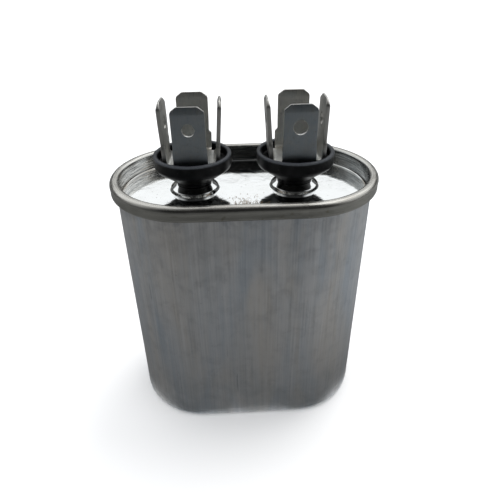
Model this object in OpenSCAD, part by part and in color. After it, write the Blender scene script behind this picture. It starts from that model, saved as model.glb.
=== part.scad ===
// Oval metal-can motor run capacitor with two four-blade quick-connect
// terminals. Millimetres. +Z is up, +X runs along the long side of the can,
// and the origin is the middle of the can's underside.

/* [Can and seam] */
// Length over the rolled seam
rim_l = 54.9; // [48:0.1:70]
// Width over the rolled seam
rim_w = 33.3; // [31:0.1:40]
// Height from the underside to the top of the seam
case_h = 57.2; // [50:0.1:100]
// Height of the rolled seam
seam_h = 2.9; // [2.7:0.1:3.6]
// Outside radius of the can's bottom edge
bottom_r = 1.6; // [1:0.1:2.5]
// Depth of the cover's flat floor below the seam
recess = 3.7; // [3.4:0.1:4.6]
// Wall thickness of the drawn can
can_t = 0.45; // [0.4:0.01:0.46]
// Sheet thickness of the cover
cover_t = 0.3; // [0.2:0.01:0.3]

/* [Terminals] */
// Distance between the two terminals
term_pitch = 20.8; // [19:0.1:23]
// Height of the raised boss under each terminal
boss_h = 1.6; // [1.4:0.05:1.7]
// Radius of the shoulder of each boss
boss_r = 4.95; // [4.7:0.05:5.2]
// Outside radius of the insulator cup
cup_r = 7.85; // [7.4:0.05:8.4]
// Height of the insulator cup
cup_h = 6.3; // [6:0.05:7.5]
// Depth of the pocket in the cup
cup_pocket = 1.8; // [1.2:0.1:2]
// Inside radius of the pocket
pocket_r = 6.95; // [6.9:0.05:7.2]
// Radius of the rivet shank
rivet_r = 1.5; // [1.2:0.05:1.6]

/* [Blades] */
// Width of a quick-connect blade
tab_w = 6.35; // [6.2:0.01:6.4]
// Width of the side and back blades below their shoulders
root_w = 7.4; // [7:0.05:7.6]
// Width of the front blades at their root
front_root_w = 6.6; // [6.4:0.05:7.2]
// Sheet thickness of the blades
tab_t = 0.8; // [0.75:0.01:0.85]
// Height of the blade tips above the seam
tip_up = 14.7; // [13:0.1:17]
// Length of a blade from tip to shoulder
tab_l = 7.8; // [7:0.1:9]
// Distance from the tip to the middle of the hole
hole_down = 4.25; // [4:0.05:5]
// Diameter of the detent hole
hole_d = 2.4; // [2:0.05:2.8]
// Diameter of the larger hole in the right front blade
big_hole_d = 2.8; // [2:0.05:3]
// Distance from the terminal's axis to a blade's outer face
tab_out = 5.55; // [5.2:0.05:5.6]
// Outward lean of the front and back blades
lean_fb = 1; // [0:0.5:2]
// Outward lean of the two outermost blades
lean_out = 1; // [0:0.5:2]
// Outward lean of the two blades that face each other
lean_in = 4; // [0:0.5:5]

/* [Inside] */
// Height of the wound roll
roll_h = 42.2; // [38:0.1:44]
// Gap between the roll and the can wall
roll_gap = 1.85; // [1.8:0.05:3]
// Wall thickness of the wrap
wrap_t = 0.6; // [0.3:0.05:0.6]

/* [Hidden] */
$fn = 72;

R = rim_w / 2;                // end radius over the seam
S = rim_l / 2 - R;            // half the straight length
WR = R - 2 * cover_t - 0.45 - 0.1;   // outside radius of the can wall
can_c = WR - can_t / 2;       // middle of the can wall
hook_c = R - cover_t - 0.04 - can_t / 2;  // middle of the can's hook
cov_hook_c = (WR + hook_c - can_t / 2) / 2; // middle of the cover's hook
chuck_c = WR - can_t - 0.05 - cover_t / 2;  // middle of the recess wall
floor_z = case_h - recess;    // top of the cover's floor
boss_z = floor_z + boss_h;    // top of the bosses
under_z = floor_z - cover_t - 0.05;  // top of the insulating washers
cup_top = boss_z + cup_h;
plate_z = cup_top - cup_pocket;      // underside of the tab plate
tip_z = case_h + tip_up;
TX = term_pitch / 2;
roll_r = WR - can_t - roll_gap;
roll_z = 4.4;

function arc(c, r, a0, a1, n) =
    [for (i = [0 : n]) let (a = a0 + (a1 - a0) * i / n)
        [c[0] + r * cos(a), c[1] + r * sin(a)]];
function unit(v) = v / norm(v);
function side(p, i, d) =
    let (n = len(p) - 1,
         u = i > 0 ? unit(p[i] - p[i - 1]) : unit(p[1] - p[0]),
         v = i < n ? unit(p[i + 1] - p[i]) : unit(p[n] - p[n - 1]),
         m = unit(u + v), k = 1 / (m * u))
    [p[i][0] - m[1] * d * k, p[i][1] + m[0] * d * k];
// A strip of sheet of thickness t along the middle line p
function strip(p, t) = concat(
    [for (i = [0 : len(p) - 1]) side(p, i, t / 2)],
    [for (i = [len(p) - 1 : -1 : 0]) side(p, i, -t / 2)]);

// Sweeps a profile drawn in (distance, height) round the oval
module oval() {
    translate([S, 0, 0]) rotate([0, 0, -90]) rotate_extrude(angle = 180) children();
    translate([-S, 0, 0]) rotate([0, 0, 90]) rotate_extrude(angle = 180) children();
    translate([-S, 0, 0]) rotate([90, 0, 90]) linear_extrude(2 * S) children();
    translate([S, 0, 0]) rotate([90, 0, -90]) linear_extrude(2 * S) children();
}
module ring(r0, r1, z0, z1) {
    oval() translate([r0, z0]) square([r1 - r0, z1 - z0]);
}
module slab(r, z0, z1) {
    translate([0, 0, z0]) linear_extrude(z1 - z0) {
        translate([S, 0]) circle(r);
        translate([-S, 0]) circle(r);
        square([2 * S, 2 * r], center = true);
    }
}
module disc(r0, r1, z0, z1) {
    rotate_extrude() translate([r0, z0]) square([r1 - r0, z1 - z0]);
}
module left() { translate([-TX, 0, 0]) children(); }
module right() { translate([TX, 0, 0]) children(); }

// Drawn can with its bottom edge rounded and its lip hooked into the seam
module can() {
    hr = (hook_c - can_c) / 2;
    zt = case_h - cover_t - 0.03 - hr - can_t / 2;
    wall = concat(
        [[WR - 4, can_t / 2]],
        arc([can_c - bottom_r + can_t / 2, bottom_r], bottom_r - can_t / 2, -90, 0, 8),
        arc([can_c + hr, zt], hr, 180, 0, 10),
        [[hook_c, case_h - 2.1]]);
    color([0.56, 0.57, 0.60]) union() {
        oval() polygon(strip(wall, can_t));
        slab(WR - 4, 0, can_t);
    }
}

// Tinned steel cover: recessed floor, two bosses and the rolled seam
module boss_sheet() {
    z1 = boss_z - cover_t / 2;
    z0 = floor_z - cover_t / 2;
    c = [boss_r - 0.45, floor_z + 0.45];
    dz = c[1] + 0.3 * sin(12) - (z0 + 0.3 - 0.3 * sin(12));
    x2 = c[0] + 0.3 * cos(12) + dz / tan(78);
    p = concat([[2.25, z1]],
        arc([3.45, z1 - 0.5], 0.5, 90, 56, 4),
        arc(c, 0.3, 56, 12, 4),
        arc([x2 + 0.3 * cos(12), z0 + 0.3], 0.3, 192, 270, 6),
        [[boss_r + 0.75, z0]]);
    rotate_extrude() polygon(strip(p, cover_t));
}
module cover() {
    zf = floor_z - cover_t / 2;
    zt = case_h - cover_t / 2;
    oc = R - cover_t / 2;
    br = (oc - cov_hook_c) / 2;
    zb = case_h - seam_h + br + cover_t / 2;
    rim = concat(
        [[chuck_c - 1.2, zf]],
        arc([chuck_c - 0.5, zf + 0.5], 0.5, -90, 0, 6),
        arc([chuck_c + 0.5, zt - 0.5], 0.5, 180, 90, 6),
        arc([oc - 0.8, zt - 0.8], 0.8, 90, 0, 8),
        arc([oc - br, zb], br, 0, -180, 10),
        [[cov_hook_c, case_h - 1.05]]);
    color([0.86, 0.86, 0.84]) union() {
        oval() polygon(strip(rim, cover_t));
        difference() {
            slab(chuck_c - 1.2, floor_z - cover_t, floor_z);
            for (x = [-TX, TX]) translate([x, 0, floor_z - 1])
                cylinder(r = boss_r + 0.75, h = 2);
        }
        left() boss_sheet();
        right() boss_sheet();
    }
}

// Thread of sealing compound at the foot of the seam
module seam_compound() {
    color([0.35, 0.36, 0.34])
        ring(hook_c - 0.2, hook_c + 0.2, case_h - 2.33, case_h - 2.13);
}

// Moulded cup: flat foot, flared bowl, short straight wall, shallow pocket
module cup() {
    z = boss_z;
    p = concat(
        [[rivet_r + 0.1, z - 0.75], [2.1, z - 0.75], [2.1, z], [3.35, z]],
        arc([3.35, z + 0.4], 0.4, -80, 0, 4),
        [[3.8, z + 0.75]],
        arc([cup_r - 1.3, z + 4.3], 1.3, -45, 0, 6),
        arc([cup_r - 0.3, cup_top - 0.3], 0.3, 0, 90, 4),
        [[pocket_r + 0.3, cup_top], [pocket_r, cup_top - 0.35]],
        arc([pocket_r - 0.25, plate_z + 0.25], 0.25, 0, -90, 3),
        [[rivet_r + 0.1, plate_z]]);
    color([0.05, 0.05, 0.055]) rotate_extrude() polygon(p);
}
module left_cup() { left() cup(); }
module right_cup() { right() cup(); }

// One blade and its half of the base plate, pointing along +X
function blade_side(lean) =
    let (ro = 1.4, ri = ro - tab_t, bx = tab_out - ro, bz = plate_z + ro,
         l = (tip_z - bz + ro * sin(lean)) / cos(lean),
         ax = [sin(lean), cos(lean)], no = [cos(lean), -sin(lean)],
         c = [bx, bz],
         o0 = c + no * ro, i0 = c + no * ri, b = 1.1, q = 0.22)
    concat([[0, plate_z]], arc(c, ro, -90, -lean, 8),
        [o0 + ax * (l - b), o0 + ax * l - no * q, i0 + ax * l + no * q, i0 + ax * (l - b)],
        arc(c, ri, -lean, -90, 6), [[0, plate_z + tab_t]]);
module blade_face(root) {
    zs = tip_z - tab_l;
    h = tab_w / 2;
    k = root / 2;
    polygon(concat(
        [[-k, plate_z - 1], [k, plate_z - 1], [k, zs - 0.5], [h, zs]],
        arc([h - 1.5, tip_z - 1.45], 1.5, 0, 24, 3),
        arc([h - 1.45, tip_z - 0.7], 0.7, 50, 90, 4),
        arc([-h + 1.45, tip_z - 0.7], 0.7, 90, 130, 4),
        arc([-h + 1.5, tip_z - 1.45], 1.5, 156, 180, 3),
        [[-h, zs], [-k, zs - 0.5]]));
}
module blade(lean, d, root) {
    difference() {
        intersection() {
            rotate([90, 0, 0]) linear_extrude(10, center = true) polygon(blade_side(lean));
            rotate([90, 0, 90]) linear_extrude(10) blade_face(root);
        }
        translate([3, 0, tip_z - hole_down]) rotate([0, 90, 0]) cylinder(d = d, h = 6);
    }
}
module tab_terminal(l_lean, r_lean, front_d) {
    color([0.50, 0.50, 0.49]) difference() {
        union() {
            blade(r_lean, hole_d, root_w);
            rotate([0, 0, 90]) blade(lean_fb, hole_d, root_w);
            rotate([0, 0, 180]) blade(l_lean, hole_d, root_w);
            rotate([0, 0, 270]) blade(lean_fb, front_d, front_root_w);
        }
        translate([0, 0, plate_z - 1]) cylinder(r = rivet_r + 0.02, h = 3);
    }
}
module left_tab_terminal() { left() tab_terminal(lean_out, lean_in, hole_d); }
module right_tab_terminal() { right() tab_terminal(lean_in, lean_out, big_hole_d); }

// Rivet: low dished head on the plate, shank, flange rolled under the lug
module rivet() {
    zt = plate_z + tab_t;
    zb = under_z - 1.25;
    p = concat([[0, zb - 0.5], [2.2, zb - 0.5]],
        arc([2.2, zb - 0.25], 0.25, -90, 0, 3), [[2.45, zb], [rivet_r, zb],
         [rivet_r, zt], [2.75, zt]],
        arc([2.45, zt + 0.3], 0.3, 0, 90, 3),
        [[1.1, zt + 0.6], [0.7, zt + 0.3], [0, zt + 0.3]]);
    color([0.72, 0.71, 0.68]) rotate_extrude() polygon(p);
}
module left_rivet() { left() rivet(); }
module right_rivet() { right() rivet(); }

// Rubber gasket inside the boss
module gasket() {
    color([0.12, 0.12, 0.12]) disc(2.2, 3.3, under_z, boss_z - cover_t);
}
module left_gasket() { left() gasket(); }
module right_gasket() { right() gasket(); }

// Hard insulating washer under the gasket
module insulating_washer() {
    color([0.55, 0.38, 0.22]) disc(rivet_r + 0.1, 5.2, under_z - 0.75, under_z);
}
module left_insulating_washer() { left() insulating_washer(); }
module right_insulating_washer() { right() insulating_washer(); }

// Tinned lug: a ring round the rivet with a flat tail
module solder_lug(a) {
    z0 = under_z - 1.25;
    color([0.80, 0.78, 0.72]) translate([0, 0, z0]) linear_extrude(0.5) difference() {
        union() {
            circle(3.4);
            rotate(a) translate([0, -1.6]) square([6.4, 3.2]);
            rotate(a) translate([6.4, 0]) circle(1.6);
        }
        circle(rivet_r + 0.02);
    }
}
module left_solder_lug() { left() solder_lug(180); }
module right_solder_lug() { right() solder_lug(90); }

// Plate above the roll, with a window for each lead
module disconnect_plate() {
    zr = roll_z + roll_h;
    color([0.90, 0.88, 0.80]) difference() {
        slab(WR - can_t - 0.55, zr + 2, zr + 3);
        translate([-TX - 7.5, -2.2, zr + 1]) cube([3.4, 4.4, 3]);
        translate([TX - 2, roll_r + 0.8, zr + 1]) cube([4, 4, 3]);
    }
}

// Metallised film roll, wound and pressed flat, with the slit of its mandrel
module film_winding() {
    color([0.78, 0.78, 0.80]) ring(0.4, roll_r, roll_z, roll_z + roll_h);
}
// Sprayed zinc contact layers on the two ends of the roll
module top_end_metal() {
    color([0.62, 0.63, 0.64]) ring(0.4, roll_r, roll_z + roll_h, roll_z + roll_h + 0.6);
}
module bottom_end_metal() {
    color([0.62, 0.63, 0.64]) ring(0.4, roll_r, roll_z - 0.6, roll_z);
}
// Plastic wrap round the roll, notched where the long lead leaves
module winding_wrap() {
    color([0.85, 0.82, 0.70]) difference() {
        ring(roll_r + 0.05, roll_r + wrap_t + 0.05, 1.9, roll_z + roll_h + 2);
        translate([TX - 1.8, roll_r - 2, 1]) cube([3.6, 4, roll_z - 0.8]);
    }
}
// Insulating pad on the floor of the can
module bottom_insulator() {
    color([0.72, 0.60, 0.42]) slab(WR - bottom_r, can_t, 1.85);
}

// Flat tinned lead from the top of the roll to the left lug
module left_lead() {
    z0 = roll_z + roll_h + 0.6;
    z1 = under_z - 1.25;
    color([0.82, 0.80, 0.75]) translate([-TX, 0, 0]) {
        translate([-6.6, -1.5, z0]) cube([5, 3, 0.25]);
        translate([-6.6, -1.5, z0]) cube([0.25, 3, z1 - z0]);
        translate([-6.6, -1.5, z1 - 0.25]) cube([2.8, 3, 0.25]);
    }
}
// Flat tinned lead from the foot of the roll, up the side, to the right lug
module right_lead() {
    z0 = roll_z - 0.6;
    z1 = under_z - 1.25;
    y1 = roll_r + 1.32;
    color([0.82, 0.80, 0.75]) translate([TX - 1.5, 0, 0]) {
        translate([0, 4, z0 - 0.25]) cube([3, y1 - 4, 0.25]);
        translate([0, y1 - 0.25, z0 - 0.25]) cube([3, 0.25, z1 - z0 + 0.25]);
        translate([0, 4, z1 - 0.25]) cube([3, y1 - 4, 0.25]);
    }
}
// Flat sleeve over the long lead
module lead_sleeve() {
    y1 = roll_r + 1.32;
    color([0.93, 0.93, 0.90]) translate([TX - 1.8, 0, 6]) difference() {
        translate([0, y1 - 0.5, 0]) cube([3.6, 0.75, roll_h - 1]);
        translate([0.25, y1 - 0.3, -1]) cube([3.1, 0.35, roll_h + 2]);
    }
}

can();
cover();
seam_compound();
left_cup();
right_cup();
left_tab_terminal();
right_tab_terminal();
left_rivet();
right_rivet();
left_gasket();
right_gasket();
left_insulating_washer();
right_insulating_washer();
left_solder_lug();
right_solder_lug();
disconnect_plate();
film_winding();
top_end_metal();
bottom_end_metal();
winding_wrap();
bottom_insulator();
left_lead();
right_lead();
lead_sleeve();
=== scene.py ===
import math
import random

import bmesh
import bpy
from mathutils import Matrix, Vector, noise
from mathutils.geometry import delaunay_2d_cdt


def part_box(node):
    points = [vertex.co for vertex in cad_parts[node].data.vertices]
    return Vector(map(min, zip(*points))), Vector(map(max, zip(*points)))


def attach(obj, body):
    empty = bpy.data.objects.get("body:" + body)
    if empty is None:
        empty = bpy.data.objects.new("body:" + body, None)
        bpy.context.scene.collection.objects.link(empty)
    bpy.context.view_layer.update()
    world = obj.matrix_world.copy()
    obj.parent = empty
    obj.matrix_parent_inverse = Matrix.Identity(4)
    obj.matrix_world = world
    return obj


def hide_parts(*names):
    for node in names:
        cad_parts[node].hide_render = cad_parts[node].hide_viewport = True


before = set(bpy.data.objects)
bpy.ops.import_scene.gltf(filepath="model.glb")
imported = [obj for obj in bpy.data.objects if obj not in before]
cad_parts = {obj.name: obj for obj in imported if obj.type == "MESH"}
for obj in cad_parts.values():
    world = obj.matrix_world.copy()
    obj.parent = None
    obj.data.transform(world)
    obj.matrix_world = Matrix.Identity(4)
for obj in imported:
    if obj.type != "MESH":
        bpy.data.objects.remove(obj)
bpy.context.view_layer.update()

random.seed(7)
MM = 0.001
scene = bpy.context.scene

# ---------------------------------------------------------------- sizes, mm
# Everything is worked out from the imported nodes' boxes and the sheet sizes.
can_lo, can_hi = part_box("can")
cov_lo, cov_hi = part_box("cover")
cup_lo, cup_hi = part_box("left_cup")
tab_lo, tab_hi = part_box("left_tab_terminal")
CAN_T, COVER_T, TAB_T = 0.45, 0.30, 0.80
CASE_H = cov_hi.z / MM
R = (cov_hi.y - cov_lo.y) / 2 / MM
S = (cov_hi.x - cov_lo.x) / 2 / MM - R
WR = R - 2 * COVER_T - 0.45 - 0.1
TX = -(cup_lo.x + cup_hi.x) / 2 / MM
CUP_R = (cup_hi.y - cup_lo.y) / 2 / MM
CUP_TOP = cup_hi.z / MM
FLOOR_Z = CASE_H - 3.7
BOSS_Z = FLOOR_Z + 1.6
UNDER_Z = FLOOR_Z - COVER_T - 0.05
PLATE_Z = tab_lo.z / MM
TIP_Z = tab_hi.z / MM
can_c = WR - CAN_T / 2
hook_c = R - COVER_T - 0.04 - CAN_T / 2
cov_hook_c = (WR + hook_c - CAN_T / 2) / 2
chuck_c = WR - CAN_T - 0.05 - COVER_T / 2


# ---------------------------------------------------------------- mesh tools
def arc(c, r, a0, a1, n):
    return [(c[0] + r * math.cos(math.radians(a0 + (a1 - a0) * i / n)),
             c[1] + r * math.sin(math.radians(a0 + (a1 - a0) * i / n))) for i in range(n + 1)]


def line(a, b, n):
    return [(a[0] + (b[0] - a[0]) * i / n, a[1] + (b[1] - a[1]) * i / n) for i in range(1, n)]


def offset(p, d, closed=False):
    """A polyline moved d to its left, mitred."""
    out, n = [], len(p)
    for i in range(n):
        a = Vector(p[i]) - Vector(p[i - 1]) if (i > 0 or closed) else Vector(p[1]) - Vector(p[0])
        b = Vector(p[(i + 1) % n]) - Vector(p[i]) if (i < n - 1 or closed) else a
        a, b = a.normalized(), b.normalized()
        m = (a + b).normalized()
        k = min(1 / max(m.dot(a), 0.3), 2.0)
        out.append((p[i][0] - m.y * d * k, p[i][1] + m.x * d * k))
    return out


def lengths(p):
    out = [0.0]
    for a, b in zip(p, p[1:]):
        out.append(out[-1] + math.dist(a, b))
    return out


NA, NS = 72, 28


def oval_ring():
    """Points round the oval: (centre x, normal x, normal y, distance round in mm)."""
    ring, s = [], 0.0
    da, ds = math.pi * WR / NA, 2 * S / NS
    for i in range(NA):
        a = -math.pi / 2 + math.pi * i / NA
        ring.append((S, math.cos(a), math.sin(a), s)); s += da
    for i in range(NS):
        ring.append((S - 2 * S * i / NS, 0.0, 1.0, s)); s += ds
    for i in range(NA):
        a = math.pi / 2 + math.pi * i / NA
        ring.append((-S, math.cos(a), math.sin(a), s)); s += da
    for i in range(NS):
        ring.append((-S + 2 * S * i / NS, 0.0, -1.0, s)); s += ds
    return ring, s


RING, AROUND = oval_ring()


def fbm(x, y, z, octaves=3):
    v, a = 0.0, 1.0
    for _ in range(octaves):
        v += a * noise.noise(Vector((x, y, z)))
        x, y, z, a = x * 2.03, y * 2.03, z * 2.03, a * 0.5
    return v


def finish_mesh(bm, name, sharp=38, nodes=(), material=None, weld=0.0):
    if weld:
        bmesh.ops.remove_doubles(bm, verts=bm.verts, dist=weld * MM)
    bmesh.ops.recalc_face_normals(bm, faces=bm.faces)
    me = bpy.data.meshes.new(name)
    bm.to_mesh(me)
    bm.free()
    for p in me.polygons:
        p.use_smooth = True
    me.set_sharp_from_angle(angle=math.radians(sharp))
    ob = bpy.data.objects.new(name, me)
    scene.collection.objects.link(ob)
    if material:
        me.materials.append(material)
    if nodes:
        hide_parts(*nodes)
    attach(ob, "root")
    return ob


def quad(bm, uvl, vs, uvs, zl=None):
    vs2, uvs2 = [], []
    for v, u in zip(vs, uvs):
        if v not in vs2:
            vs2.append(v); uvs2.append(u)
    if len(vs2) < 3:
        return None
    try:
        f = bm.faces.new(vs2)
    except ValueError:
        return None
    for lp, u in zip(f.loops, uvs2):
        lp[uvl].uv = u
    return f


def sweep(bm, uvl, zone, profile, zones, closed, bump=None, u_scale=1.0, v0=0.0):
    """Sweeps (r, z) points round the oval; returns the rows of vertices."""
    rows = []
    for j, (r, z) in enumerate(profile):
        row = []
        for (bx, nx, ny, s) in RING:
            d = bump(s, r, z, bx + nx * r, ny * r) if bump else (0.0, 0.0)
            rr = r + d[0]
            v = bm.verts.new(((bx + nx * rr) * MM, ny * rr * MM, (z + d[1]) * MM))
            v[zone] = zones[j]
            row.append(v)
        rows.append(row)
    L = lengths(profile + (profile[:1] if closed else []))
    n, m = len(profile), len(RING)
    for j in range(n if closed else n - 1):
        a, b = rows[j], rows[(j + 1) % n]
        va, vb = v0 + L[j], v0 + L[j + 1]
        for k in range(m):
            k2 = (k + 1) % m
            u1 = RING[k][3]
            u2 = RING[k2][3] if k2 else AROUND
            quad(bm, uvl, (a[k], a[k2], b[k2], b[k]), ((u1, va), (u2, va), (u2, vb), (u1, vb)))
    return rows


def revolve(bm, uvl, zone, profile, zones, n, cx, closed=True, wob=None):
    rows = []
    for j, (r, z) in enumerate(profile):
        if r < 1e-6:
            v = bm.verts.new((cx * MM, 0, z * MM)); v[zone] = zones[j]
            rows.append([v] * n)
            continue
        row = []
        for k in range(n):
            a = 2 * math.pi * k / n
            d = wob(a, r, z) if wob else (0.0, 0.0)
            rr = r + d[0]
            v = bm.verts.new(((cx + rr * math.cos(a)) * MM, rr * math.sin(a) * MM, (z + d[1]) * MM))
            v[zone] = zones[j]
            row.append(v)
        rows.append(row)
    L = lengths(profile + (profile[:1] if closed else []))
    m = len(profile)
    rmax = max(p[0] for p in profile)
    for j in range(m if closed else m - 1):
        a, b = rows[j], rows[(j + 1) % m]
        for k in range(n):
            k2 = (k + 1) % n
            u1, u2 = rmax * 2 * math.pi * k / n, rmax * 2 * math.pi * (k + 1) / n
            quad(bm, uvl, (a[k], a[k2], b[k2], b[k]), ((u1, L[j]), (u2, L[j]), (u2, L[j + 1]), (u1, L[j + 1])))
    return rows


def new_bm():
    bm = bmesh.new()
    uvl = bm.loops.layers.uv.new("grain")
    zone = bm.verts.layers.float.new("zone")
    return bm, uvl, zone


# ---------------------------------------------------------------- materials
class Mat:
    """A Principled material and short names for the nodes that feed it."""

    def __init__(self, name, metallic=0.0, roughness=0.5, **plain):
        self.m = bpy.data.materials.new(name)
        self.m.use_nodes = True
        self.nt = self.m.node_tree
        self.nt.nodes.clear()
        self.out = self.nt.nodes.new("ShaderNodeOutputMaterial")
        self.b = self.nt.nodes.new("ShaderNodeBsdfPrincipled")
        self.nt.links.new(self.b.outputs["BSDF"], self.out.inputs["Surface"])
        self.b.inputs["Metallic"].default_value = metallic
        self.b.inputs["Roughness"].default_value = roughness
        for k, v in plain.items():
            self.b.inputs[k].default_value = v

    def put(self, sock, value):
        if isinstance(value, bpy.types.NodeSocket):
            self.nt.links.new(value, sock)
        elif isinstance(value, (tuple, list)) and len(value) == 3 and sock.type == "RGBA":
            sock.default_value = (*value, 1.0)
        else:
            sock.default_value = value

    def set(self, **kw):
        for k, v in kw.items():
            self.put(self.b.inputs[k.replace("_", " ")], v)

    def coords(self):
        """Object coordinates in millimetres."""
        t = self.nt.nodes.new("ShaderNodeTexCoord")
        s = self.nt.nodes.new("ShaderNodeVectorMath"); s.operation = "SCALE"
        self.nt.links.new(t.outputs["Object"], s.inputs[0])
        s.inputs["Scale"].default_value = 1000.0
        return s.outputs[0]

    def uv(self):
        t = self.nt.nodes.new("ShaderNodeUVMap"); t.uv_map = "grain"
        return t.outputs[0]

    def attr(self, name="zone"):
        a = self.nt.nodes.new("ShaderNodeAttribute"); a.attribute_name = name
        return a.outputs["Fac"]

    def stretch(self, vec, x, y, z=1.0, off=(0, 0, 0)):
        m = self.nt.nodes.new("ShaderNodeMapping")
        self.nt.links.new(vec, m.inputs["Vector"])
        m.inputs["Scale"].default_value = (x, y, z)
        m.inputs["Location"].default_value = off
        return m.outputs[0]

    def noise(self, vec, scale=1.0, detail=3.0, rough=0.5, dist=0.0):
        n = self.nt.nodes.new("ShaderNodeTexNoise")
        self.nt.links.new(vec, n.inputs["Vector"])
        n.inputs["Scale"].default_value = scale
        n.inputs["Detail"].default_value = detail
        n.inputs["Roughness"].default_value = rough
        n.inputs["Distortion"].default_value = dist
        return n.outputs["Fac"]

    def cells(self, vec, scale=1.0, feature="F1", rand=1.0):
        n = self.nt.nodes.new("ShaderNodeTexVoronoi")
        n.feature = feature
        self.nt.links.new(vec, n.inputs["Vector"])
        n.inputs["Scale"].default_value = scale
        n.inputs["Randomness"].default_value = rand
        return n.outputs["Distance"]

    def split(self, vec):
        n = self.nt.nodes.new("ShaderNodeSeparateXYZ")
        self.nt.links.new(vec, n.inputs[0])
        return n.outputs

    def math(self, op, a, b=0.0, clamp=False):
        n = self.nt.nodes.new("ShaderNodeMath"); n.operation = op; n.use_clamp = clamp
        self.put(n.inputs[0], a)
        self.put(n.inputs[1], b)
        return n.outputs[0]

    def span(self, v, lo, hi, a=0.0, b=1.0, kind="LINEAR"):
        n = self.nt.nodes.new("ShaderNodeMapRange")
        n.interpolation_type = kind
        n.clamp = True
        self.put(n.inputs["Value"], v)
        for s, x in (("From Min", lo), ("From Max", hi), ("To Min", a), ("To Max", b)):
            n.inputs[s].default_value = x
        return n.outputs["Result"]

    def mix(self, f, a, b, kind="MIX"):
        n = self.nt.nodes.new("ShaderNodeMix")
        n.data_type = "RGBA"; n.blend_type = kind; n.clamp_factor = True
        self.put(n.inputs["Factor"], f)
        self.put(n.inputs["A"], a) if False else None
        ins = [i for i in n.inputs if i.type == "RGBA"]
        self.put(ins[0], a)
        self.put(ins[1], b)
        return [o for o in n.outputs if o.type == "RGBA"][0]

    def grey(self, v):
        n = self.nt.nodes.new("ShaderNodeCombineColor")
        for i in range(3):
            self.put(n.inputs[i], v)
        return n.outputs[0]

    def bump(self, height, strength=0.3, distance=0.00005, after=None):
        n = self.nt.nodes.new("ShaderNodeBump")
        n.inputs["Strength"].default_value = strength
        n.inputs["Distance"].default_value = distance
        self.nt.links.new(height, n.inputs["Height"])
        if after is not None:
            self.nt.links.new(after, n.inputs["Normal"])
        return n.outputs[0]


def can_material():
    m = Mat("drawn_aluminium", metallic=1.0, roughness=0.45)
    g, p = m.uv(), m.coords()
    fine = m.noise(m.stretch(g, 1.0, 0.018), 2.6, 4, 0.62)
    mid = m.noise(m.stretch(g, 1.0, 0.035, off=(11, 3, 0)), 0.55, 4, 0.55, 0.3)
    wide = m.noise(m.stretch(g, 1.0, 0.22, off=(4, 19, 0)), 0.13, 4, 0.55, 0.6)
    mott = m.noise(p, 0.42, 5, 0.6, 0.5)
    grit = m.noise(p, 3.2, 3, 0.6)
    base = m.mix(m.span(wide, 0.36, 0.64), (0.500, 0.545, 0.595), (0.625, 0.600, 0.570))
    base = m.mix(m.span(mid, 0.30, 0.70, 0.0, 0.75), base, (0.680, 0.680, 0.690))
    # fine draw lines, pale and dark
    base = m.mix(m.span(fine, 0.50, 0.74, 0.0, 0.34), base, (0.78, 0.78, 0.79))
    base = m.mix(m.span(fine, 0.44, 0.28, 0.0, 0.30), base, (0.380, 0.395, 0.425))
    # smudges from handling
    base = m.mix(m.span(mott, 0.50, 0.70, 0.0, 0.16), base, (0.400, 0.410, 0.425))
    # painted shade: darker towards the foot and just under the seam overhang, where shade falls
    zz = m.split(p)[2]
    foot_shade = m.math("MULTIPLY", m.span(zz, 16.0, 0.5), m.span(m.noise(m.stretch(p, 1, 1, 0.6), 0.16, 4, 0.6, 0.8), 0.30, 0.62))
    base = m.mix(m.math("MULTIPLY", foot_shade, 0.55), base, (0.300, 0.330, 0.345))
    # painted shade under the seam overhang
    neck_shade = m.math("MULTIPLY", m.span(zz, 51.5, 54.2), m.span(mott, 0.40, 0.62))
    base = m.mix(m.math("MULTIPLY", neck_shade, 0.45), base, (0.34, 0.36, 0.40))
    # sparse long scratches down the wall
    sc = m.noise(m.stretch(g, 1.0, 0.055, off=(31, 7, 0)), 1.5, 2, 0.45)
    where = m.noise(m.stretch(g, 1.0, 0.5, off=(2, 40, 0)), 0.09, 2, 0.5)
    scratch = m.math("MULTIPLY", m.span(sc, 0.685, 0.715), m.span(where, 0.50, 0.62))
    base = m.mix(m.math("MULTIPLY", scratch, 0.30), base, (0.20, 0.205, 0.22))
    dots = m.math("MULTIPLY", m.span(m.cells(p, 0.55), 0.085, 0.045), m.span(m.noise(p, 0.23, 2), 0.52, 0.60))
    base = m.mix(m.math("MULTIPLY", dots, 0.3), base, (0.20, 0.195, 0.19))
    m.set(Base_Color=base)
    r = m.span(fine, 0.30, 0.72, 0.50, 0.36)
    r = m.math("ADD", r, m.span(mott, 0.40, 0.70, -0.02, 0.11))
    m.set(Roughness=r)
    n = m.bump(fine, 0.45, 0.00003)
    n = m.bump(mid, 0.30, 0.00008, n)
    n = m.bump(grit, 0.10, 0.00002, n)
    m.set(Normal=n)
    return m.m


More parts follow.
